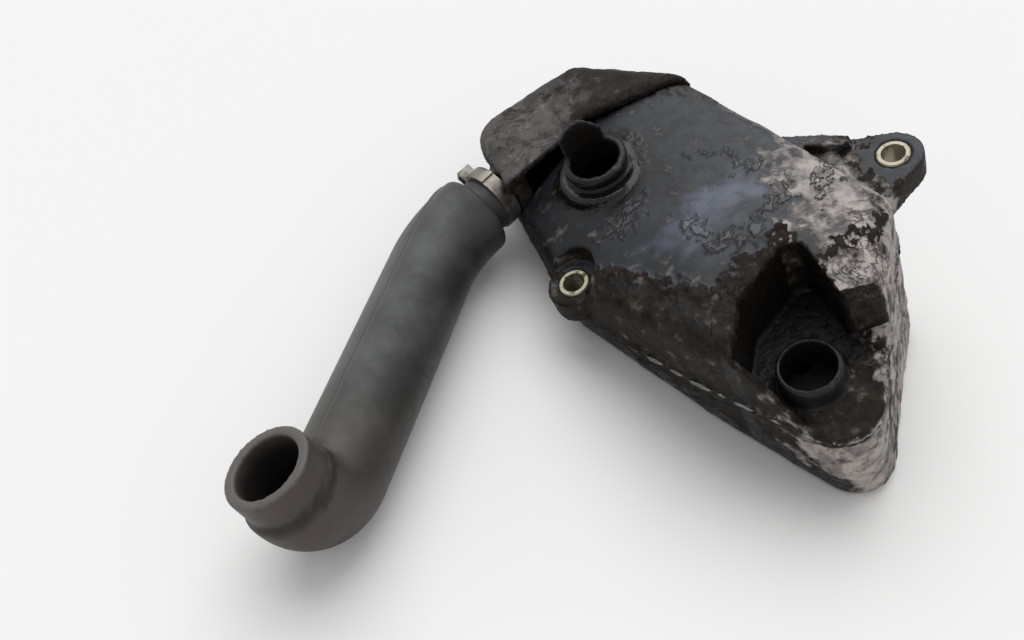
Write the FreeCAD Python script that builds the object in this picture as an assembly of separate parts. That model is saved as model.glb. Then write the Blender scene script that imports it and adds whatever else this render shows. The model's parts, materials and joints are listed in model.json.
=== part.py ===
import FreeCAD, Part
import math
import os

vec = FreeCAD.Vector

# The fixing plane is z = 0, bolts run along z, x runs from the left to the right boss
# and y points up when the separator is fitted. All sizes are in millimetres.
bolt_spacing = 123.0
wall = 3.0

# Reach of the cutting blocks, well past the housing
far = 400.0

# Corner circles of the housing, (x, y, radius), anticlockwise from the outlet corner
corners = [
    (-6.0, 75.0, 13.0),
    (3.0, 4.0, 9.0),
    (40.0, -48.0, 10.0),
    (70.0, -79.0, 14.0),
    (103.0, -22.0, 10.0),
    (53.0, 60.0, 14.0),
    (25.0, 83.0, 13.0),
]
split_z = -16.0
crown_x = 56.0
crown_z = 16.0
crown_r = 160.0
edge_r = 8.0

# Outlet end: its flat top, and the line of its weld to the rear shell
outlet_top = 18.0
outlet_edge_r = 5.0
outlet_line = [(-40.0, 33.0), (14.0, 56.0), (26.0, 63.0), (90.0, 60.0)]

# Rest on the table: slope of the front face, and its depth below the left boss
rest_tilt = 21.5
front_depth = 30.1
front_edge_r = 4.0

# Weld beads along the split
bead_out = 1.0
bead_high = 1.6

# Bosses and their steel bushes
boss_r = 10.5
boss_long = 11.0
bush_r = 6.0
bush_bore_r = 4.3
bush_proud = 0.25
fit_gap = 0.15
notch_r = 10.9
lug_roots = [(94.0, 12.0, 9.0), (104.0, -17.0, 6.0)]
rib_thick = 5.0
rib_high = 6.0
rib_root = 9.0
rib_top_share = 0.78
rib_foot_share = 0.86

# Notch at the drain end: level of its floor, its tent-shaped corner and its lower edge
shelf_z = -13.0
tent = [(74.5, -36.5), (57.0, -49.0), (22.0, -120.0), (88.0, -120.0)]
tent_r = 5.0
shelf_y = -57.0
rim_from = 33.0
rim_bend = 45.0
rim_to = 58.0
rim_high = 10.0

# Drain nipple
drain = (65.5, -69.0)
drain_r = 11.0
drain_bore_r = 9.2
drain_long = 11.5
drain_lead = 0.8

# Inlet nipple: collar, bead and the part of its wall that stands above the bead
inlet = (24.0, 35.5)
inlet_r = 11.2
inlet_bore_r = 9.5
collar_r = 16.5
collar_z = 15.0
bead_r = 12.6
bead_z = 21.5
bead_thick = 4.0
stump_z = 32.5
stump_from = 52.0
stump_to = 158.0

# Outlet spigot and the hose on it
spigot = (-12.5, 60.5, 3.2)
spigot_way = (-0.832, -0.547, 0.086)
spigot_r = 9.5
spigot_bore_r = 7.5
spigot_long = 23.0
spigot_face = 6.0
spigot_face_r = 14.2
hose_gap = 0.2
neck_r = 11.8
neck_from = 6.4
neck_long = 12.6
hose_r = 17.0
hose_bore_r = 11.8
hose_bend_r = 50.0
hose_bend_at = 20.5
elbow_bend_r = 17.6
elbow = (-101.8, -75.5)
mouth_r = 15.5
mouth_way = (-0.42, 0.13, 0.9)
mouth_rise = 31.0
mouth_long = 11.0
shoulder_r = 2.5
overlap = 3.0

# Clamp on the neck
clamp_at = 10.2
clamp_wide = 6.2
clamp_thick = 0.8
clamp_tail = 62.0
clamp_tail_from = 22.0
ear_high = 3.0
ear_wide = 5.0
ear_thick = 0.9
ear_at = 98.0

# Baffle insert
baffle_gap = 0.3
baffle_thick = 2.0
baffle_top = -17.0
vane_thick = 2.0
vane_lines = [(30.0, 0.0, 58.0), (10.0, 42.0, 110.0), (-10.0, 8.0, 78.0)]
vane_top = 4.0
hole_r = 4.0
hole_from = (50.0, -44.0)
hole_step = 14.0
post_r = 4.0
posts = [(6.0, 70.0), (44.0, 70.0), (84.0, -10.0), (30.0, -34.0)]


def belt(circles, grow, z):
    # closed outline of arcs joined by the straight lines that touch them
    count = len(circles)
    ways = []
    for i in range(count):
        ax, ay, ar = circles[i]
        bx, by, br = circles[(i + 1) % count]
        far = math.hypot(bx - ax, by - ay)
        dx, dy = (bx - ax) / far, (by - ay) / far
        k = (ar - br) / far
        s = math.sqrt(1.0 - k * k)
        ways.append(vec(k * dx + s * dy, k * dy - s * dx, 0))
    edges = []
    for i in range(count):
        cx, cy, r = circles[i]
        nx, ny, nr = circles[(i + 1) % count]
        mid = vec(cx, cy, z)
        r = r + grow
        came, goes = ways[i - 1], ways[i]
        half = came + goes
        half.normalize()
        edges.append(Part.Arc(mid + came * r, mid + half * r, mid + goes * r).toShape())
        edges.append(Part.makeLine(mid + goes * r, vec(nx, ny, z) + goes * (nr + grow)))
    return Part.Wire(Part.__sortEdges__(edges))


def prism(circles, grow, low, high):
    return Part.Face(belt(circles, grow, low)).extrude(vec(0, 0, high - low))


def cylinder(r, low, high, at):
    return Part.makeCylinder(r, high - low, vec(at[0], at[1], low))


def half_space(point, way):
    # large block on the side of the point that the direction shows
    block = Part.makeBox(2 * far, 2 * far, 2 * far, vec(-far, -far, 0))
    block.Placement = FreeCAD.Placement(point, FreeCAD.Rotation(vec(0, 0, 1), way))
    return block


def rounded(shape, r, keep):
    edges = [e for e in shape.Edges if keep(e)]
    return shape.makeFillet(r, edges)


def z_span(edge):
    box = edge.BoundBox
    return box.ZMin, box.ZMax


def crowned(inset, low):
    # tray with a barrel-shaped top and a rounded edge
    body = prism(corners, -inset, low, crown_z + 20)
    start = vec(crown_x, -far, crown_z - crown_r)
    barrel = Part.makeCylinder(crown_r - inset, 2 * far, start, vec(0, 1, 0))
    body = body.common(barrel)
    return rounded(body, edge_r - inset, lambda e: z_span(e)[0] > low + 5)


def outlet_block(inset, low):
    body = prism(corners, -inset, low, outlet_top - inset)
    return rounded(body, outlet_edge_r - min(inset, 3.0), lambda e: z_span(e)[0] > outlet_top - inset - 0.1)


def outlet_side(shift):
    # everything on the outlet side of the weld line
    pts = [vec(x, y + shift, -120) for x, y in outlet_line]
    pts += [vec(90, 200, -120), vec(-40, 200, -120)]
    return Part.Face(Part.makePolygon(pts + [pts[0]])).extrude(vec(0, 0, 240))


def drain_notch(grow, floor):
    cut = prism([(x, y, tent_r) for x, y in tent], grow, floor, 60)
    below = Part.makeBox(far, far, 60 - floor, vec(tent[1][0], shelf_y + grow - far, floor))
    return cut.fuse(below)


def notch_rim():
    # outer wall that runs down beside the notch to the level of its floor
    ring = prism(corners, 0, shelf_z - 1, crown_z).cut(prism(corners, -wall, shelf_z - 2, crown_z + 1))
    pts = [
        vec(rim_from, -150, shelf_z - 1),
        vec(rim_to, -150, shelf_z - 1),
        vec(rim_to, -150, shelf_z),
        vec(rim_bend, -150, rim_high),
        vec(rim_from, -150, rim_high),
    ]
    side = Part.Face(Part.makePolygon(pts + [pts[0]])).extrude(vec(0, 150 + shelf_y, 0))
    return ring.common(side)


def floor_side(inset):
    slope = math.radians(rest_tilt)
    way = vec(math.sin(slope), 0, math.cos(slope))
    return half_space(vec(0, 0, -front_depth) + way * inset, way)


def tub(inset, top):
    body = prism(corners, -inset, -130, top).common(floor_side(inset))
    low = [e for e in body.Edges if z_span(e)[1] < top - 0.1 and e.Length > 4 and not is_upright(e)]
    return body.makeFillet(front_edge_r - min(inset, 2.5), low)


def is_upright(edge):
    if edge.Curve.TypeId != "Part::GeomLine":
        return False
    return abs(edge.tangentAt(edge.FirstParameter).z) > 0.999


def tube_sector(r_in, r_out, low, high, start, end):
    ring = cylinder(r_out, low, high, (0, 0)).cut(cylinder(r_in, low - 1, high + 1, (0, 0)))
    a, b = math.radians(start), math.radians(end)
    m = (a + b) / 2
    reach = 4 * r_out
    pts = [vec(0, 0, low)]
    for t in (a, m, b):
        pts.append(vec(reach * math.cos(t), reach * math.sin(t), low))
    wedge = Part.Face(Part.makePolygon(pts + [pts[0]])).extrude(vec(0, 0, high - low))
    return ring.common(wedge)


def inlet_nipple():
    body = cylinder(inlet_r, 6, bead_z, (0, 0))
    ring = cylinder(bead_r, bead_z - bead_thick, bead_z, (0, 0))
    ring = rounded(ring, 1.6, lambda e: e.Closed and e.Length > 6)
    body = body.fuse(ring)
    stump = tube_sector(inlet_bore_r, inlet_r, bead_z - 1, stump_z, stump_from, stump_to)
    lean = half_space(vec(0, inlet_r, stump_z), vec(0.62, 0.1, 0.75))
    stump = stump.cut(lean)
    collar = cylinder(collar_r, 6, collar_z, (0, 0))
    collar = rounded(collar, 1.2, lambda e: e.Closed and z_span(e)[0] > collar_z - 0.1)
    body = body.fuse([stump, collar])
    body.translate(vec(inlet[0], inlet[1], 0))
    return body


def drain_nipple():
    rim = shelf_z + drain_long
    body = cylinder(drain_r, shelf_z - 1, rim, drain)
    body = body.makeChamfer(drain_lead, [e for e in body.Edges if e.Closed and z_span(e)[0] > rim - 0.1])
    foot = Part.makeCone(drain_r + 2.5, drain_r, 3.0, vec(drain[0], drain[1], shelf_z - 0.5))
    return body.fuse(foot)


def right_lug():
    ring = [lug_roots[1], (bolt_spacing, 0.0, boss_r), lug_roots[0]]
    lug = prism(ring, 0, -boss_long, 0)
    start = vec(lug_roots[0][0], lug_roots[0][1] + lug_roots[0][2], 0)
    end = vec(bolt_spacing - 3.0, boss_r, 0)
    side = end - start
    side.normalize()
    start = start - side * rib_root
    across = vec(side.y, -side.x, 0)
    length = (end - start).Length
    pts = [
        start + vec(0, 0, -4),
        start + vec(0, 0, rib_high + 2.0),
        start + side * (length * rib_top_share) + vec(0, 0, rib_high * 0.6),
        start + side * (length * rib_foot_share) + vec(0, 0, -4),
    ]
    rib = Part.Face(Part.makePolygon(pts + [pts[0]])).extrude(across * rib_thick)
    return lug.fuse(rib)


def bead_ring(low):
    return prism(corners, bead_out, low, low + bead_high)


def rear_shell():
    body = crowned(0, split_z).fuse(bead_ring(split_z))
    body = body.cut(drain_notch(0, shelf_z))
    body = body.fuse(notch_rim())
    body = body.cut(cylinder(notch_r, 0, 60, (0, 0)))
    body = body.fuse([cylinder(boss_r, -boss_long, 0, (0, 0)), right_lug(), drain_nipple()])
    body = body.fuse(inlet_nipple())
    hollow = crowned(wall, split_z - 1).cut(drain_notch(wall, shelf_z - wall - 2))
    hollow = hollow.cut(cylinder(notch_r + wall, -wall, 60, (0, 0)))
    hollow = hollow.cut(cylinder(boss_r, -60, 60, (0, 0)))
    body = body.cut(hollow)
    for x in (0.0, bolt_spacing):
        body = body.cut(cylinder(bush_r + fit_gap, -40, 10, (x, 0)))
    body = body.cut(cylinder(inlet_bore_r, -10, stump_z + 1, inlet))
    body = body.cut(cylinder(drain_bore_r, -30, 10, drain))
    return body.cut(outlet_side(0)).removeSplitter()


def front_shell():
    line = outlet_side(0)
    outer = tub(0, split_z)
    outer = outer.fuse(bead_ring(split_z - bead_high).common(floor_side(2.0)))
    outer = outer.fuse(outlet_block(0, split_z).common(line))
    hollow = tub(wall, split_z + 0.5)
    hollow = hollow.fuse(outlet_block(wall, split_z).common(line))
    shell = outer.cut(hollow)
    way = vec(*spigot_way)
    root = vec(*spigot)
    face = root + way * spigot_face
    pad_long = wall + overlap
    pad = Part.makeCylinder(spigot_face_r + wall, pad_long, face - way * pad_long, way)
    shell = shell.fuse(pad.common(outlet_block(1.0, split_z).common(line)))
    shell = shell.cut(Part.makeCylinder(spigot_face_r, 40.0, face, way))
    shell = shell.fuse(Part.makeCylinder(spigot_r, spigot_long + overlap, root - way * overlap, way))
    shell = shell.cut(Part.makeCylinder(spigot_bore_r, spigot_long + 30.0, root - way * 15.0, way))
    under = baffle_top - baffle_thick
    for at in posts:
        post = cylinder(post_r, -130, under, at).common(floor_side(wall / 2))
        shell = shell.fuse(post)
    return shell.removeSplitter()


def baffle():
    inset = wall + baffle_gap
    slice_low = baffle_top - baffle_thick
    slab = Part.makeBox(2 * far, 2 * far, baffle_thick, vec(-far, -far, slice_low))
    plate = tub(inset, baffle_top).common(slab)
    room = crowned(inset, baffle_top - 0.5).cut(drain_notch(inset, shelf_z - inset))
    room = room.cut(cylinder(notch_r + inset, -inset, 60, (0, 0)))
    room = room.cut(cylinder(boss_r + baffle_gap, -60, 60, (0, 0)))
    parts = []
    for y, x_from, x_to in vane_lines:
        slab = Part.makeBox(x_to - x_from, vane_thick, vane_top - baffle_top, vec(x_from, y, baffle_top))
        parts.append(slab.common(room))
    end_wall = room.cut(outlet_side(-1.0)).common(outlet_side(-1.0 - vane_thick))
    parts.append(end_wall)
    plate = plate.fuse(parts)
    for i in range(3):
        for j in range(2):
            at = (hole_from[0] + hole_step * i, hole_from[1] - hole_step * j)
            plate = plate.cut(cylinder(hole_r, -60, 0, at))
    return plate.removeSplitter()


def bush(x):
    ring = cylinder(bush_r, -boss_long - bush_proud, bush_proud, (x, 0))
    ring = ring.makeChamfer(0.4, [e for e in ring.Edges if e.Closed])
    return ring.cut(cylinder(bush_bore_r, -40, 40, (x, 0)))


def bent_path(pts, radii):
    # straight runs joined by tangent arcs
    edges = []
    last = pts[0]
    for i in range(1, len(pts) - 1):
        into = pts[i] - pts[i - 1]
        out = pts[i + 1] - pts[i]
        into.normalize()
        out.normalize()
        turn = into.getAngle(out)
        reach = radii[i - 1] * math.tan(turn / 2)
        start = pts[i] - into * reach
        end = pts[i] + out * reach
        inward = out - into
        inward.normalize()
        middle = pts[i] + inward * (radii[i - 1] / math.cos(turn / 2) - radii[i - 1])
        edges.append(Part.makeLine(last, start))
        edges.append(Part.Arc(start, middle, end).toShape())
        last = end
    edges.append(Part.makeLine(last, pts[-1]))
    return Part.Wire(edges)


def sweep(path, r):
    first = path.Edges[0]
    start = first.valueAt(first.FirstParameter)
    way = first.tangentAt(first.FirstParameter)
    ring = Part.Wire(Part.makeCircle(r, start, way))
    return path.makePipeShell([ring], True, False)


def round_end(at, way):
    # short disc of the hose's size with a rounded outer edge
    disc = Part.makeCylinder(hose_r, shoulder_r, vec(0, 0, 0))
    disc = disc.makeFillet(shoulder_r * 0.96, [e for e in disc.Edges if e.Closed and z_span(e)[0] > 0.1])
    disc.Placement = FreeCAD.Placement(at, FreeCAD.Rotation(vec(0, 0, 1), way))
    return disc


def hose(place):
    way = place.Rotation.multVec(vec(*spigot_way))
    root = place.multVec(vec(*spigot))
    start = root + way * neck_from
    step = start + way * neck_long
    bend = step + way * hose_bend_at
    corner = vec(elbow[0], elbow[1], hose_r + 0.2)
    up = vec(*mouth_way)
    up.normalize()
    mouth = corner + up * mouth_rise
    lip = mouth - up * mouth_long
    first = step + way * shoulder_r
    last = lip - up * shoulder_r
    radii = [hose_bend_r, elbow_bend_r]
    body = sweep(bent_path([first, bend, corner, last], radii), hose_r)
    body = body.fuse([round_end(first, way * -1), round_end(last, up)])
    body = body.fuse(Part.makeCylinder(neck_r, neck_long + 2 * shoulder_r, start, way))
    tail = mouth_long + overlap
    body = body.fuse(Part.makeCylinder(mouth_r, tail, mouth - up * tail, up))
    body = body.cut(sweep(bent_path([first, bend, corner, mouth + up], radii), hose_bore_r))
    return body.cut(Part.makeCylinder(spigot_r + hose_gap, neck_long + 2 * overlap, start - way, way))


def clamp():
    r = neck_r + hose_gap
    outer = r + clamp_thick
    half = clamp_wide / 2
    band = cylinder(outer, -half, half, (0, 0)).cut(cylinder(r, -half - 1, half + 1, (0, 0)))
    tail_to = clamp_tail_from + clamp_tail
    tail = tube_sector(outer - 0.1, outer + clamp_thick, -half, half, clamp_tail_from, tail_to)
    side = ear_wide / 2
    foot = outer - 0.3
    loop = Part.makeBox(ear_wide, ear_high + 2.0, clamp_wide, vec(-side, foot, -half))
    gap = Part.makeBox(ear_wide - 2 * ear_thick, ear_high + 2.0 - ear_thick, clamp_wide + 2,
                       vec(-side + ear_thick, foot, -half - 1))
    loop = loop.cut(gap)
    loop.rotate(vec(0, 0, 0), vec(0, 0, 1), ear_at - 90.0)
    band = band.fuse([tail, loop]).removeSplitter()
    at = vec(*spigot) + vec(*spigot_way) * clamp_at
    band.Placement = FreeCAD.Placement(at, FreeCAD.Rotation(vec(0, 0, 1), vec(*spigot_way)))
    return band


rest = FreeCAD.Placement(vec(0, 0, front_depth * math.cos(math.radians(rest_tilt))),
                         FreeCAD.Rotation(vec(0, 1, 0), -rest_tilt))
nodes = {
    "rear_shell": rear_shell(),
    "front_shell": front_shell(),
    "baffle": baffle(),
    "left_bush": bush(0.0),
    "right_bush": bush(bolt_spacing),
    "ear_clamp": clamp(),
}
for name in nodes:
    nodes[name].Placement = rest.multiply(nodes[name].Placement)
nodes["breather_hose"] = hose(rest)

# origin at the middle of the resting box, on the table
box = FreeCAD.BoundBox()
for shape in nodes.values():
    box.add(shape.optimalBoundingBox(False, False))
shift = vec(-box.Center.x, -box.Center.y, -box.ZMin)
os.makedirs("parts", exist_ok=True)
for name, shape in nodes.items():
    shape.translate(shift)
    shape.exportStep("parts/" + name + ".step")
    print(name, shape.isValid(), len(shape.Solids), round(shape.Volume / 1000, 2), "cm3")
print("box", [round(s, 1) for s in (box.XLength, box.YLength, box.ZLength)], "shift", shift)
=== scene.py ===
import json
import math
import bpy
import numpy as np
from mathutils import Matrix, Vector, noise


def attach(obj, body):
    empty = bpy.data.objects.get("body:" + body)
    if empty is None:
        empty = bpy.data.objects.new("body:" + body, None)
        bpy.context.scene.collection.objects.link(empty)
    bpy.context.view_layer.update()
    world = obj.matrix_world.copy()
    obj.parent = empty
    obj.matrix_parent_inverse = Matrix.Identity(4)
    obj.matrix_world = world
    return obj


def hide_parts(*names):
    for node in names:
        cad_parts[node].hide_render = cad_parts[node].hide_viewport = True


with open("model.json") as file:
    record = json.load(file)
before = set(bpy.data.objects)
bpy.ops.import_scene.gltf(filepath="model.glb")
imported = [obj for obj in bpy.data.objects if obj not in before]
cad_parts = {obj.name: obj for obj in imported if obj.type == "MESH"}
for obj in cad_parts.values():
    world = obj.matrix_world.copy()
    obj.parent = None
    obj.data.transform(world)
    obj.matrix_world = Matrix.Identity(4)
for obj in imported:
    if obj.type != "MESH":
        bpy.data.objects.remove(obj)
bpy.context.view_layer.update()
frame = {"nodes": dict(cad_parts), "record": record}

nodes = frame["nodes"]
mounts = {m["name"]: m for m in frame["record"]["mounts"]}
mm = 0.001


# the housing's own frame: x from the left to the right boss, y up when fitted, z along the bolts,
# from a point on the left bolt's axis a little above its mount
bossAboveMount = 5.5 * mm
boltWay = Vector(mounts["left_bolt"]["axis"])
leftBoss = Vector(mounts["left_bolt"]["pos_m"]) + boltWay * bossAboveMount
sideWay = Vector((boltWay.z, 0, -boltWay.x))
print("frame loaded,", len(nodes), "nodes")


def only(piece):
    bpy.ops.object.select_all(action="DESELECT")
    piece.select_set(True)
    bpy.context.view_layer.objects.active = piece


def applied(piece, kind, **values):
    only(piece)
    modifier = piece.modifiers.new(kind.lower(), kind)
    for key, value in values.items():
        setattr(modifier, key, value)
    bpy.ops.object.modifier_apply(modifier=modifier.name)


def skinOf(nodeName, name, voxel, rounds):
    skin = bpy.data.objects.new(name, nodes[nodeName].data.copy())
    bpy.context.scene.collection.objects.link(skin)
    skin.data.materials.clear()
    only(skin)
    bpy.ops.object.mode_set(mode="EDIT")
    bpy.ops.mesh.select_all(action="SELECT")
    bpy.ops.mesh.remove_doubles(threshold=0.00001)
    bpy.ops.object.mode_set(mode="OBJECT")
    applied(skin, "REMESH", mode="VOXEL", voxel_size=voxel)
    applied(skin, "SMOOTH", factor=0.5, iterations=rounds)
    return skin


def finished(skin, nodeName, finish):
    skin.data.materials.append(finish)
    only(skin)
    bpy.ops.object.shade_smooth()
    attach(skin, "root")
    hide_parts(nodeName)
    print(skin.name, len(skin.data.polygons), "faces")


def places(skin):
    # vertex places and normals of a skin in the housing's frame, in millimetres
    count = len(skin.data.vertices)
    co = np.empty(count * 3, np.float32)
    skin.data.vertices.foreach_get("co", co)
    turned = np.empty(count * 3, np.float32)
    skin.data.vertex_normals.foreach_get("vector", turned)
    axes = np.array([sideWay, (0, 1, 0), boltWay]).T
    spots = (co.reshape(-1, 3) - np.array(leftBoss)) @ axes / mm
    return spots, turned.reshape(-1, 3) @ axes


def cloud(spots, size, depth, offset):
    # soft noise from 0 to 1, with patches of about the given size
    move = Vector((offset, offset * 0.37, -offset))
    values = [noise.fractal(Vector(s) / size + move, 0.6, 2.0, depth) for s in spots]
    return np.clip(np.array(values) * 0.6 + 0.5, 0, 1)


def ramp(values, low, high):
    t = np.clip((values - low) / (high - low), 0, 1)
    return t * t * (3 - 2 * t)


def above(spots, line):
    # height of each place over a line drawn on the housing's face, along y
    xs, ys = zip(*line)
    return spots[:, 1] - np.interp(spots[:, 0], xs, ys)


def keepMask(skin, name, values):
    # an attribute for the material and a vertex group, in even steps, for the modifiers
    stepCount = 24
    values = np.clip(values, 0, 1).astype(np.float32)
    attribute = skin.data.attributes.new(name, "FLOAT", "POINT")
    attribute.data.foreach_set("value", values)
    group = skin.vertex_groups.new(name=name)
    steps = np.round(values * stepCount).astype(int)
    for step in range(1, stepCount + 1):
        group.add(np.nonzero(steps == step)[0].tolist(), step / stepCount, "REPLACE")


def cloudTexture(name, size, depth):
    texture = bpy.data.textures.new(name, "CLOUDS")
    texture.noise_scale = size
    texture.noise_depth = depth
    return texture


def weather(skin, mask, texture, high, middle):
    applied(skin, "DISPLACE", texture=texture, texture_coords="LOCAL", vertex_group=mask,
            strength=high, mid_level=middle)


class Finish:
    # a material with short calls for its nodes
    def __init__(self, name):
        self.material = bpy.data.materials.new(name)
        self.material.use_nodes = True
        self.tree = self.material.node_tree
        self.shader = self.tree.nodes["Principled BSDF"]
        self.place = self.tree.nodes.new("ShaderNodeTexCoord").outputs["Object"]

    def node(self, kind, inputs=None, **values):
        made = self.tree.nodes.new(kind)
        for key, value in values.items():
            setattr(made, key, value)
        for key, value in (inputs or {}).items():
            self.plug(made.inputs[key], value)
        return made

    def plug(self, socket, value):
        if isinstance(value, bpy.types.NodeSocket):
            self.tree.links.new(value, socket)
        else:
            socket.default_value = value

    def noise(self, scale, detail=4.0, rough=0.55, warp=0.0):
        made = self.node("ShaderNodeTexNoise", {"Vector": self.place, "Scale": scale, "Detail": detail,
                                                "Roughness": rough, "Distortion": warp})
        return made.outputs["Fac"]

    def mask(self, name):
        return self.node("ShaderNodeAttribute", attribute_name=name).outputs["Fac"]

    def math(self, kind, a, b):
        made = self.node("ShaderNodeMath", operation=kind)
        self.plug(made.inputs[0], a)
        self.plug(made.inputs[1], b)
        return made.outputs[0]

    def span(self, value, low, high, start=0.0, end=1.0):
        inputs = {"Value": value, "From Min": low, "From Max": high, "To Min": start, "To Max": end}
        made = self.node("ShaderNodeMapRange", inputs, interpolation_type="SMOOTHSTEP")
        return made.outputs["Result"]

    def mix(self, share, a, b):
        made = self.node("ShaderNodeMix", data_type="RGBA")
        self.plug(made.inputs["Factor"], share)
        self.plug(made.inputs[6], a if isinstance(a, bpy.types.NodeSocket) else (*a, 1))
        self.plug(made.inputs[7], b if isinstance(b, bpy.types.NodeSocket) else (*b, 1))
        return made.outputs[2]

    def blend(self, share, a, b):
        made = self.node("ShaderNodeMix", data_type="FLOAT")
        self.plug(made.inputs["Factor"], share)
        self.plug(made.inputs[2], a)
        self.plug(made.inputs[3], b)
        return made.outputs[0]

    def tears(self, scale, thin):
        # 1 along ragged lines, broken off where a wider noise is low
        line = self.math("ABSOLUTE", self.math("SUBTRACT", self.noise(scale, 7.0, 0.62, 0.6), 0.5), 0.0)
        kept = self.span(self.noise(40.0, 2.0), 0.46, 0.6)
        return self.math("MULTIPLY", self.span(line, 0.0, thin, 1.0, 0.0), kept)

    def bump(self, height, depth, strength=1.0, below=None):
        made = self.node("ShaderNodeBump", {"Height": height, "Distance": depth, "Strength": strength})
        if below is not None:
            self.plug(made.inputs["Normal"], below)
        return made.outputs["Normal"]

    def set(self, **values):
        for key, value in values.items():
            self.plug(self.shader.inputs[key.replace("_", " ")], value)


def housingFinish():
    look = Finish("oily black plastic")
    grime, pale, wet, cap = [look.mask(name) for name in ("grime", "pale", "wet", "cap")]
    rim, flake, dark, sheen = [look.mask(name) for name in ("rim", "flake", "dark", "sheen")]
    big = look.noise(48.0, 3.0)
    mid = look.noise(170.0, 6.0, 0.62)
    fine = look.noise(900.0, 4.0, 0.6)
    smear = look.noise(90.0, 5.0, 0.6, 1.4)
    tears = look.tears(75.0, 0.012)
    cracks = look.tears(46.0, 0.016)
    plastic = look.mix(look.span(big, 0.35, 0.7), (0.006, 0.0064, 0.0075), (0.02, 0.0225, 0.029))
    dirt = look.mix(look.span(mid, 0.36, 0.66), (0.006, 0.0043, 0.0028), (0.034, 0.0255, 0.019))
    crust = look.mix(look.span(smear, 0.35, 0.65), (0.048, 0.043, 0.039), (0.108, 0.098, 0.091))
    dust = look.mix(look.span(smear, 0.3, 0.62), (0.2, 0.175, 0.163), (0.44, 0.392, 0.366))
    dirtShare = look.span(look.math("ADD", grime, look.span(fine, 0.0, 1.0, -0.3, 0.3)), 0.35, 0.65)
    dustShare = look.span(look.math("ADD", pale, look.span(mid, 0.25, 0.75, -0.45, 0.45)), 0.15, 0.9)
    # painted reflection: the bluish sheen is painted into the plastic's colour, streaked by the smear
    # noise
    paintedSheen = look.math("MULTIPLY", sheen, look.span(smear, 0.25, 0.65, 0.45, 1.0))
    plastic = look.mix(paintedSheen, plastic, (0.048, 0.059, 0.092))
    colour = look.mix(dirtShare, plastic, dirt)
    colour = look.mix(cap, colour, crust)
    colour = look.mix(dustShare, colour, dust)
    colour = look.mix(look.span(flake, 0.5, 0.95, 0.0, 0.25), colour, (0.15, 0.145, 0.145))
    edge = look.math("MULTIPLY", look.math("MULTIPLY", flake, look.math("SUBTRACT", 1.0, flake)), 4.0)
    caked = look.math("MAXIMUM", look.math("MAXIMUM", dirtShare, dustShare), cap)
    torn = look.math("MAXIMUM", look.math("MULTIPLY", tears, caked), look.span(edge, 0.45, 0.9))
    torn = look.math("MAXIMUM", torn, look.math("MULTIPLY", cracks, dustShare))
    colour = look.mix(look.math("MULTIPLY", torn, 0.85), colour, (0.007, 0.0052, 0.004))
    crumbs = look.mix(fine, (0.006, 0.004, 0.003), (0.03, 0.021, 0.016))
    colour = look.mix(look.span(rim, 0.25, 0.75), colour, crumbs)
    # wet and dark places go near black; in the nipple bores and the drain pocket this is black oil with
    # painted shade
    soaked = look.span(wet, 0.3, 0.7)
    colour = look.mix(look.math("MAXIMUM", soaked, dark), colour, (0.009, 0.0077, 0.0068))
    rough = look.blend(dirtShare, look.span(mid, 0.3, 0.7, 0.34, 0.5), look.span(mid, 0.3, 0.7, 0.5, 0.8))
    rough = look.blend(look.math("MAXIMUM", dustShare, cap), rough, 0.8)
    rough = look.blend(soaked, rough, 0.14)
    grain = look.bump(fine, 0.0003, 0.18)
    lumps = look.bump(look.math("MULTIPLY", mid, caked), 0.0022, 0.6, grain)
    split = look.bump(look.math("MULTIPLY", torn, -1.0), 0.0007, 0.8, lumps)
    shine = look.blend(dirtShare, look.span(paintedSheen, 0.0, 1.0, 0.36, 0.55), 0.17)
    shine = look.blend(dark, shine, 0.15)
    look.set(Base_Color=colour, Roughness=rough, Normal=split, Specular_IOR_Level=shine)
    return look.material


def hoseFinish():
    look = Finish("charcoal rubber")
    big = look.noise(38.0)
    mid = look.noise(240.0, 4.0)
    fine = look.noise(2400.0, 2.0)
    brown, bore, worn, paintedLitSide = [look.mask(name) for name in ("brown", "bore", "worn", "paintedLitSide")]
    bloom = look.span(big, 0.42, 0.68)
    colour = look.mix(bloom, (0.021, 0.021, 0.0195), (0.05, 0.051, 0.048))
    # painted light: the hose's left side is lightened as if lit from the left
    dustShare = look.math("MULTIPLY", paintedLitSide, look.span(mid, 0.2, 0.8, 0.5, 0.8))
    colour = look.mix(dustShare, colour, (0.12, 0.122, 0.116))
    colour = look.mix(brown, colour, look.mix(mid, (0.034, 0.0215, 0.0155), (0.066, 0.045, 0.0335)))
    colour = look.mix(look.math("MULTIPLY", look.mask("ridge"), 0.6), colour, (0.02, 0.02, 0.018))
    # the cuff's seam: a stain together with the painted shade of its step
    colour = look.mix(look.mask("stain"), colour, (0.014, 0.01, 0.008))
    # painted shade inside the hose's mouth
    colour = look.mix(bore, colour, (0.014, 0.012, 0.011))
    colour = look.mix(worn, colour, (0.11, 0.098, 0.09))
    rough = look.span(mid, 0.2, 0.8, 0.46, 0.62)
    look.set(Base_Color=colour, Roughness=rough, Normal=look.bump(fine, 0.0002, 0.3))
    return look.material


def clampFinish():
    look = Finish("dull band steel")
    mid = look.noise(300.0, 4.0)
    stain = look.span(look.noise(140.0), 0.5, 0.72)
    colour = look.mix(stain, (0.24, 0.22, 0.19), (0.08, 0.066, 0.053))
    look.set(Base_Color=colour, Metallic=0.85, Roughness=look.span(mid, 0.2, 0.8, 0.34, 0.55))
    return look.material


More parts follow.
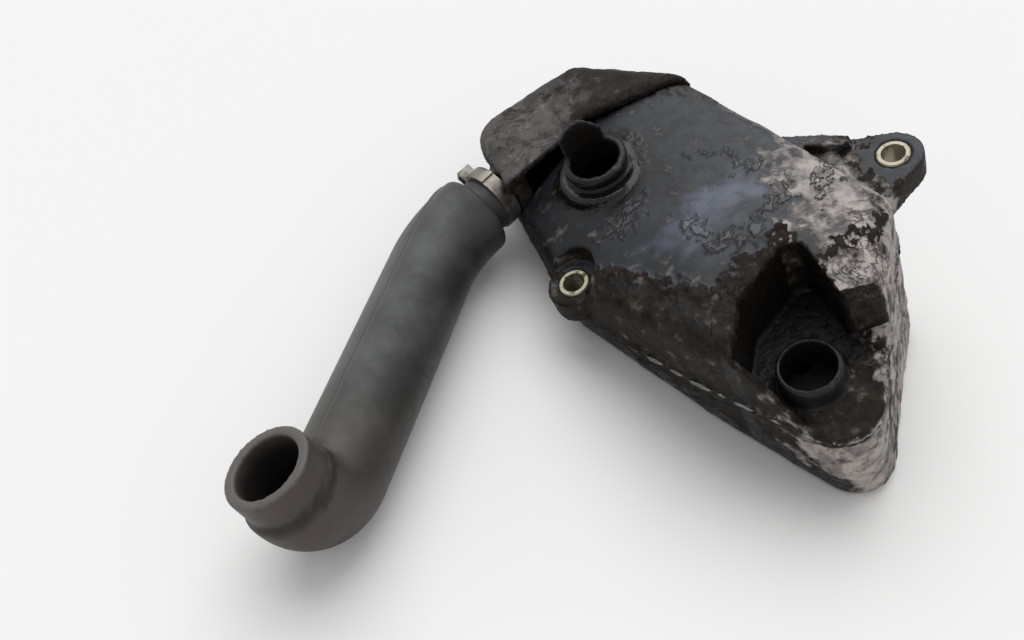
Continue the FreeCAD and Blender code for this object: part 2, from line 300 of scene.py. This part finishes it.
def bushFinish():
    look = Finish("yellow zinc")
    stain = look.span(look.noise(420.0, 4.0), 0.5, 0.75)
    colour = look.mix(stain, (0.32, 0.29, 0.22), (0.11, 0.083, 0.05))
    look.set(Base_Color=colour, Metallic=0.6, Roughness=look.span(stain, 0.0, 1.0, 0.34, 0.65))
    return look.material


def baffleFinish():
    look = Finish("dark inner plastic")
    colour = look.mix(look.noise(90.0), (0.004, 0.004, 0.004), (0.009, 0.008, 0.007))
    look.set(Base_Color=colour, Roughness=0.6, Specular_IOR_Level=0.15)
    return look.material


housing = {
    "rearVoxel": 0.85 * mm,
    "frontVoxel": 1.05 * mm,
    "smoothing": 2,
    "lumpHigh": 1.6 * mm,
    "lumpSize": 11 * mm,
    "grainHigh": 0.7 * mm,
    "grainSize": 3 * mm,
    "rimHigh": 0.9 * mm,
    "flakeHigh": 0.45 * mm,
    # all that follows is in millimetres in the housing's frame; a span runs from no effect to the full one
    "inlet": (24, 35.5),
    "inletBore": (10.1, 9.6),
    "inletWall": (12.4, 13.6),
    "inletCollar": (22, 19),
    "drainBore": (9.8, 9.3),
    "drainWall": (11.3, 12.5),
    "leftBossWall": (9.5, 12.0),
    "rightBossWall": (10.0, 13.0),
    "lugSpan": (103, 107),
    "lugDirt": (10, 15),
    # lower edge of the clean tray, weld line of the outlet end and sides of the drain pocket
    "grimeLine": [(-20, 4), (0, 2), (12, -7), (28, -21), (38, -31), (48, -40), (53, -36), (62, -29),
                  (74, -27), (84, -42), (92, -36), (120, -26)],
    "outletLine": [(-40, 33), (14, 56), (26, 63), (90, 60)],
    "pocketLeft": [(-120, 22), (-49, 57), (-36.5, 74.5)],
    "pocketRight": [(-120, 88), (-36.5, 74.5)],
    "pocketLeftEdge": (-12, -8),
    "pocketRightEdge": (-9, -5),
    "pocketTop": (31, 34),
    "pocketFoot": (74, 62),
    "pocketDeep": (14.5, 11.0),
    "capDirt": (10, 34),
    # caked edges: along the far side, and along the weld on the right of the inlet
    "farWay": (0.58, 0.815),
    "farEdge": (79, 84),
    "weldCake": (12, 18),
    "rimFrom": (6, 12),
    # wet oil: the weld bead and the foot of the lower left side, and heights over the floor
    "lowerWay": (-0.815, -0.58),
    "lowerSpan": (-2, 3),
    "beadLevel": -16,
    "beadHalf": (3.2, 1.4),
    "wetFoot": (14, 9),
    "crustFoot": (1.0, 3.5),
    # black runs of oil below the tray: from x, y to x, y
    "runs": [(31, -25, 35, -43), (35, -43, 38, -58), (14, -13, 22, -22)],
    "runHalf": (2.4, 1.0),
    # pale dust on the right of the tray, on the right wall and round the drain end
    "dustSpan": (60, 102),
    "dustEnd": (110, 104),
    "dustFoot": (-70, -54),
    "dustFar": (28, 0),
    "wallSpan": (66, 80),
    "wallEnd": (120, 113),
    "wallFar": (0, 24),
    "tipSpan": (72, 88),
    # dark left end, and the bluish sheen, a reflection painted into the colour: its middle, its way, its
    # length over its width and its reach
    "leftEnd": (0, 6),
    "leftEndFoot": (8, 16),
    "sheenAt": (56, -6),
    "sheenWay": (0.96, 0.27),
    "sheenSlim": 2.6,
    "sheenReach": (40, 10),
    # scars of the oily tray: x, y, half length, half width, turn in degrees
    "scars": [(26, 8, 8, 5, 20), (50, -15, 10, 3, -62), (78, -12, 7, 3, 40), (63, 20, 6, 2, -20),
              (74, 8, 5, 4, 0), (96, -8, 8, 4, 60), (38, 44, 5, 2, -30), (66, -22, 8, 4, 10)],
}


def most(*masks):
    return np.maximum.reduce(masks)


def inHousing(mountName):
    # x and y of a mount in the housing's frame, in millimetres
    away = Vector(mounts[mountName]["pos_m"]) - leftBoss
    return away.dot(sideWay) / mm, away.y / mm


class HousingFace:
    # places, directions and noises of one housing skin, which its masks share
    def __init__(self, skin):
        self.spots, facing = places(skin)
        self.x, self.y, self.z = self.spots.T
        self.side, self.up = facing[:, 0], facing[:, 2]
        self.height = leftBoss.z / mm + self.x * sideWay.z + self.z * boltWay.z
        self.coarse = cloud(self.spots, 9.0, 4, 3.1) - 0.5
        self.small = cloud(self.spots, 3.0, 4, 7.7) - 0.5
        self.broad = cloud(self.spots, 9.0, 3, 1.9) - 0.5
        self.inlet = self.distance(housing["inlet"])
        self.drain = self.distance(inHousing("drain_nipple"))
        self.rightBoss = self.distance(inHousing("right_bolt"))
        self.overWeld = above(self.spots, housing["outletLine"])
        self.outlet = ramp(self.overWeld, -0.5, 0.5)
        self.top = ramp(self.up, 0.35, 0.7)
        self.cap = self.top * self.outlet
        self.tray = self.top * (1 - self.outlet)
        self.clean = ramp(self.drain, *housing["drainWall"]) * ramp(self.inlet, *housing["inletWall"])
        self.bosses = ramp(self.distance((0, 0)), *housing["leftBossWall"])
        self.bosses *= ramp(self.rightBoss, *housing["rightBossWall"])
        self.capRight = self.cap * ramp(self.x + self.coarse * 20, *housing["capDirt"])
        self.lug = self.top * ramp(self.x, *housing["lugSpan"])
        self.lug *= ramp(self.rightBoss + self.small * 8, *housing["lugDirt"])

    def distance(self, place):
        return np.hypot(self.x - place[0], self.y - place[1])

    def toward(self, way):
        return self.x * way[0] + self.y * way[1]


def pocketMask(face):
    # the inside of the drain pocket, painted near black: black oil with the painted shade of the deep
    # recess
    leftSide = np.interp(face.y, *zip(*housing["pocketLeft"]))
    rightSide = np.interp(face.y, *zip(*housing["pocketRight"]))
    across = ramp(face.x - leftSide, *housing["pocketLeftEdge"])
    across *= ramp(rightSide - face.x, *housing["pocketRightEdge"])
    down = ramp(-face.y, *housing["pocketTop"]) * ramp(-face.y, *housing["pocketFoot"])
    level = face.z + face.small * 6 - ramp(-face.y, 47, 38) * 2
    return across * down * ramp(level, *housing["pocketDeep"])


def grimeMasks(face):
    # caked dirt below the tray and on the sides, and its thick crumbled edges
    below = -above(face.spots, housing["grimeLine"]) + face.coarse * 13 + face.small * 6
    sides = (1 - face.top) * ramp(face.coarse, -0.4, -0.2)
    grime = most(ramp(below, -1.5, 1.5) * (1 - face.outlet), sides, face.lug, face.capRight)
    edge = face.tray * ramp(np.abs(below - 2.5), 4.5, 1.5) * ramp(face.x, *housing["rimFrom"])
    far = face.tray * ramp(face.toward(housing["farWay"]) + face.small * 8, *housing["farEdge"])
    weld = face.cap * ramp(np.abs(face.overWeld - 3 + face.small * 4), 4, 2)
    weld *= ramp(face.x, *housing["weldCake"])
    return grime, most(edge, far * 0.8, weld * 0.8)


def wetMasks(face, pocket):
    # wet oil, and its foot along the lower left side
    collar = ramp(face.inlet + face.small * 4, *housing["inletCollar"]) * ramp(face.z, 24, 17)
    lowerSide = ramp(face.toward(housing["lowerWay"]), *housing["lowerSpan"])
    bead = ramp(np.abs(face.z - housing["beadLevel"] + face.small * 3), *housing["beadHalf"])
    bead *= lowerSide * ramp(face.coarse, -0.15, 0)
    foot = ramp(face.height + face.coarse * 14, *housing["wetFoot"]) * lowerSide
    # the drain pocket counts as wet here: black oil and painted shade
    wet = most(pocket, collar, bead, foot * 0.9)
    for fromX, fromY, toX, toY in housing["runs"]:
        goX, goY = toX - fromX, toY - fromY
        share = ((face.x - fromX) * goX + (face.y - fromY) * goY) / (goX * goX + goY * goY)
        share = np.clip(share, 0, 1)
        off = np.hypot(face.x - fromX - share * goX, face.y - fromY - share * goY) + face.small * 4
        wet = most(wet, ramp(off, *housing["runHalf"]) * ramp(face.up, 0, 0.3))
    return wet, foot


def paleMask(face):
    # dust on the right of the tray, the lug, the right wall and the drain end
    right = ramp(face.x + face.coarse * 30, *housing["dustSpan"]) * ramp(face.x, *housing["dustEnd"])
    right *= face.tray * ramp(face.y + face.coarse * 40, *housing["dustFoot"])
    right *= ramp(face.y + face.coarse * 24, *housing["dustFar"])
    wall = ramp(face.side, 0.15, 0.6) * ramp(face.x, *housing["wallEnd"])
    wall *= ramp(face.x + face.y * 0.2 + face.broad * 16, *housing["wallSpan"])
    wall *= 0.5 + 0.5 * ramp(face.broad + face.small * 0.5, -0.2, 0.1)
    wall *= 1 - 0.7 * ramp(face.y, *housing["wallFar"])
    tip = ramp(-face.y + face.coarse * 12, *housing["tipSpan"]) * ramp(face.up, 0.8, 0.3)
    return most(right * 0.86, face.lug * 0.3, wall, tip * 0.74)


def darkMask(face, pocket, foot):
    # nipples, left end, foot and right part of the outlet end, darker and hardly shining; in the nipple
    # bores and the drain pocket the darkening is partly painted shade
    bores = ramp(face.drain, *housing["drainBore"]) + ramp(face.inlet, *housing["inletBore"])
    leftEnd = face.tray * ramp(-face.x + face.coarse * 14, *housing["leftEnd"])
    leftEnd *= ramp(face.y, *housing["leftEndFoot"])
    return most(pocket, bores, (1 - face.clean) * 0.55, leftEnd * 0.6, foot * 0.65, face.capRight * 0.35)


def sheenMask(face):
    # where the bluish sheen, a reflection painted into the colour, lies on the tray
    atX, atY = housing["sheenAt"]
    wayX, wayY = housing["sheenWay"]
    along = (face.x - atX) * wayX + (face.y - atY) * wayY
    across = (face.y - atY) * wayX - (face.x - atX) * wayY
    reach = np.hypot(along, across * housing["sheenSlim"]) + face.broad * 24
    return face.tray * ramp(reach, *housing["sheenReach"])


def flakeMask(face):
    flake = np.zeros(len(face.x))
    for atX, atY, halfLong, halfWide, turn in housing["scars"]:
        c, s = math.cos(math.radians(turn)), math.sin(math.radians(turn))
        along = ((face.x - atX) * c + (face.y - atY) * s) / halfLong
        across = ((face.y - atY) * c - (face.x - atX) * s) / halfWide
        flake = most(flake, ramp(1.0 - np.hypot(along, across) + face.small * 2.6, 0.25, 0.5))
    return flake * face.tray


def housingMasks(skin):
    face = HousingFace(skin)
    pocket = pocketMask(face)
    grime, rim = grimeMasks(face)
    wet, foot = wetMasks(face, pocket)
    pale = paleMask(face) * (1 - wet)
    plain = face.clean * face.bosses
    offFloor = ramp(face.height, *housing["crustFoot"])
    crust = most(grime, pale, face.outlet * 0.7)
    keepMask(skin, "grime", grime * face.clean)
    keepMask(skin, "pale", pale * face.clean * (1 - pocket))
    keepMask(skin, "wet", wet)
    keepMask(skin, "dark", darkMask(face, pocket, foot))
    keepMask(skin, "sheen", sheenMask(face) * (1 - grime))
    keepMask(skin, "cap", face.cap * 0.9 - face.capRight * 0.75)
    keepMask(skin, "rim", rim * plain * (1 - pocket))
    keepMask(skin, "flake", flakeMask(face) * plain * offFloor)
    keepMask(skin, "crust", crust * plain * offFloor * (1 - pocket))


def housingSkin(nodeName, name, voxel):
    skin = skinOf(nodeName, name, voxel, housing["smoothing"])
    housingMasks(skin)
    lumps = cloudTexture(name + "Lumps", housing["lumpSize"], 2)
    grain = cloudTexture(name + "Grain", housing["grainSize"], 3)
    weather(skin, "crust", lumps, housing["lumpHigh"], 0.5)
    weather(skin, "crust", grain, housing["grainHigh"], 0.5)
    applied(skin, "DISPLACE", vertex_group="rim", strength=housing["rimHigh"], mid_level=0.0)
    applied(skin, "DISPLACE", vertex_group="flake", strength=housing["flakeHigh"], mid_level=0.0)
    return skin


plasticLook = housingFinish()
rearSkin = housingSkin("rear_shell", "rearHousing", housing["rearVoxel"])
frontSkin = housingSkin("front_shell", "frontHousing", housing["frontVoxel"])
finished(rearSkin, "rear_shell", plasticLook)
finished(frontSkin, "front_shell", plasticLook)

hoseRun = {
    "voxel": 0.73 * mm,
    "smoothing": 6,
    "bend": Vector((-45.5, 37.4, 17.5)) * mm,
    "corner": Vector((-102.7, -77.0, 17.2)) * mm,
    "ridgeTurn": math.radians(28),
    "ridgeHigh": 0.6 * mm,
    # all that follows is in millimetres; a span runs from no effect to the full one
    "ridgeHalf": 1.0,
    "ridgeEnd": (112, 100),
    "ridgeOver": (10, 14),
    "paintedLitSideSpan": (-9, 20),
    "brownSpan": (70, 150),
    # along the axis of the mouth and away from it
    "seamAt": -7.5,
    "seamHalf": (3.5, 0.8),
    "seamInside": (14, 15),
    "seamOutside": (21, 19),
    "wornSpan": (4.2, 5.4),
    "wornOutside": (20, 18),
    "boreSide": (13.0, 12.2),
    "boreDeep": (5, -3),
}


def mouthMasks(skin, spots, away):
    # seam of the cuff, darkened by a stain and the painted shade of its step, worn rim, and the bore,
    # darkened with painted shade
    mouthWay = np.array(mounts["hose_mouth"]["axis"])
    inMouth = (spots - np.array(mounts["hose_mouth"]["pos_m"])) / mm
    out = inMouth @ mouthWay
    aside = np.linalg.norm(inMouth - out[:, None] * mouthWay, axis=1)
    ragged = (cloud(away, 6.0, 3, 8.3) - 0.5) * 3
    seam = ramp(np.abs(out - hoseRun["seamAt"]) + ragged, *hoseRun["seamHalf"])
    seam *= ramp(aside, *hoseRun["seamInside"]) * ramp(aside, *hoseRun["seamOutside"])
    worn = ramp(out + cloud(away, 8.0, 3, 5.2) * 1.5, *hoseRun["wornSpan"])
    worn *= ramp(aside, *hoseRun["wornOutside"])
    keepMask(skin, "stain", seam)
    keepMask(skin, "worn", worn * 0.8)
    # the bore: painted shade inside the mouth
    keepMask(skin, "bore", ramp(aside, *hoseRun["boreSide"]) * ramp(out, *hoseRun["boreDeep"]))


def hoseSkin():
    skin = skinOf("breather_hose", "mouldedHose", hoseRun["voxel"], hoseRun["smoothing"])
    spots = np.empty(len(skin.data.vertices) * 3, np.float32)
    skin.data.vertices.foreach_get("co", spots)
    spots = spots.reshape(-1, 3)
    way = (hoseRun["corner"] - hoseRun["bend"]).normalized()
    left = way.cross(Vector((0, 0, 1))).normalized()
    turn = hoseRun["ridgeTurn"]
    outward = Vector((0, 0, math.cos(turn))) + left * math.sin(turn)
    away = (spots - np.array(hoseRun["bend"])) / mm
    off = away @ np.array(outward.cross(way))
    along = away @ np.array(way)
    ridge = ramp(-np.abs(off), -hoseRun["ridgeHalf"], 0) * ramp(along, *hoseRun["ridgeEnd"])
    ridge *= ramp(away @ np.array(outward), *hoseRun["ridgeOver"])
    blotch = (cloud(away, 22.0, 3, 2.4) - 0.5) * 10
    keepMask(skin, "ridge", ridge)
    # painted light on the hose's left side, broken up by blotches
    keepMask(skin, "paintedLitSide", ramp(away @ np.array(left) + blotch, *hoseRun["paintedLitSideSpan"]))
    keepMask(skin, "brown", ramp(along, *hoseRun["brownSpan"]) * 0.8)
    mouthMasks(skin, spots, away)
    applied(skin, "DISPLACE", vertex_group="ridge", strength=hoseRun["ridgeHigh"], mid_level=0.0)
    return skin


oil = {
    # drops of wet oil along the weld bead: x, y, half length in the housing's frame
    "drops": [(18.0, -35.7, 4.0), (24.0, -44.2, 3.0), (30.2, -52.7, 4.5), (35.8, -59.2, 2.5),
              (41.4, -66.7, 4.0), (49.4, -76.2, 3.0)],
    "level": -15.2,
    "halfWide": 0.9,
    "way": Vector((0.62, -0.785, 0)),
    "waveSize": 3 * mm,
    "waveHigh": 0.8 * mm,
}


def oilFinish():
    look = Finish("wet oil")
    colour = look.mix(look.noise(300.0), (0.006, 0.004, 0.003), (0.016, 0.011, 0.007))
    look.set(Base_Color=colour, Roughness=0.05, IOR=2.6)
    return look.material


def oilDrops():
    made = []
    for x, y, halfLong in oil["drops"]:
        spot = leftBoss + (sideWay * x + boltWay * oil["level"]) * mm + Vector((0, y * mm, 0))
        way = (sideWay * oil["way"].x + Vector((0, oil["way"].y, 0))).normalized()
        bpy.ops.object.select_all(action="DESELECT")
        bpy.ops.mesh.primitive_uv_sphere_add(segments=24, ring_count=12, radius=1.0)
        drop = bpy.context.object
        drop.scale = (oil["halfWide"] * mm, oil["halfWide"] * mm, halfLong * mm)
        drop.rotation_euler = way.to_track_quat("Z", "Y").to_euler()
        drop.location = spot
        bpy.ops.object.transform_apply(location=True, rotation=True, scale=True)
        made.append(drop)
    only(made[0])
    for drop in made[1:]:
        drop.select_set(True)
    bpy.ops.object.join()
    drops = bpy.context.object
    drops.name = "oilDrops"
    weather(drops, "", cloudTexture("oilWaves", oil["waveSize"], 1), oil["waveHigh"], 0.5)
    drops.data.materials.append(oilFinish())
    bpy.ops.object.shade_smooth()
    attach(drops, "root")
    print("oil drops", len(drops.data.polygons), "faces")


oilDrops()
finished(hoseSkin(), "breather_hose", hoseFinish())

bareLooks = {"left_bush": bushFinish(), "right_bush": bushFinish(), "ear_clamp": clampFinish(),
             "baffle": baffleFinish()}
for nodeName, look in bareLooks.items():
    for slot in nodes[nodeName].material_slots:
        slot.material = look
print("materials set")

stage = {
    "floorColour": (0.86, 0.85, 0.832),
    "worldLight": 0.64,
    "sunStrength": 1.7,
    "sunFrom": Vector((0.04, 0.52, 0.85)),
    "sunAngle": math.radians(60),
    "lens": 37.97,
    "cameraAt": Vector((-74.1, -263.6, 329.4)) * mm,
    "aim": Vector((-22.7, 8.0, 0.0)) * mm,
    "floorSize": 8.0,
    "floorDrop": 0.2 * mm,
    "skyColour": (0.97, 0.98, 1.0),
    "sunColour": (0.97, 0.985, 1.0),
}


def buildStage():
    bpy.ops.object.select_all(action="DESELECT")
    bpy.ops.mesh.primitive_plane_add(size=stage["floorSize"], location=(0, 0, 0))
    floor = bpy.context.object
    floor.name = "floor"
    bpy.ops.object.mode_set(mode="EDIT")
    bpy.ops.transform.translate(value=(0, 0, -stage["floorDrop"]))
    bpy.ops.object.mode_set(mode="OBJECT")
    look = Finish("pale table")
    look.set(Base_Color=(*stage["floorColour"], 1), Roughness=0.9, Specular_IOR_Level=0.1)
    floor.data.materials.append(look.material)
    world = bpy.data.worlds.new("studio")
    world.use_nodes = True
    light = world.node_tree.nodes["Background"]
    light.inputs["Color"].default_value = (*stage["skyColour"], 1)
    light.inputs["Strength"].default_value = stage["worldLight"]
    bpy.context.scene.world = world
    lamp = bpy.data.lights.new("window", "SUN")
    lamp.energy = stage["sunStrength"]
    lamp.angle = stage["sunAngle"]
    lamp.color = stage["sunColour"]
    sun = bpy.data.objects.new("window", lamp)
    sun.rotation_euler = stage["sunFrom"].to_track_quat("Z", "Y").to_euler()
    bpy.context.scene.collection.objects.link(sun)
    lens = bpy.data.cameras.new("camera")
    lens.lens = stage["lens"]
    lens.sensor_width = 36.0
    lens.clip_start = 0.01
    camera = bpy.data.objects.new("camera", lens)
    camera.location = stage["cameraAt"]
    gaze = stage["aim"] - stage["cameraAt"]
    camera.rotation_euler = gaze.to_track_quat("-Z", "Y").to_euler()
    bpy.context.scene.collection.objects.link(camera)
    bpy.context.scene.camera = camera
    bpy.context.scene.view_settings.view_transform = "Standard"
    print("stage set")


buildStage()
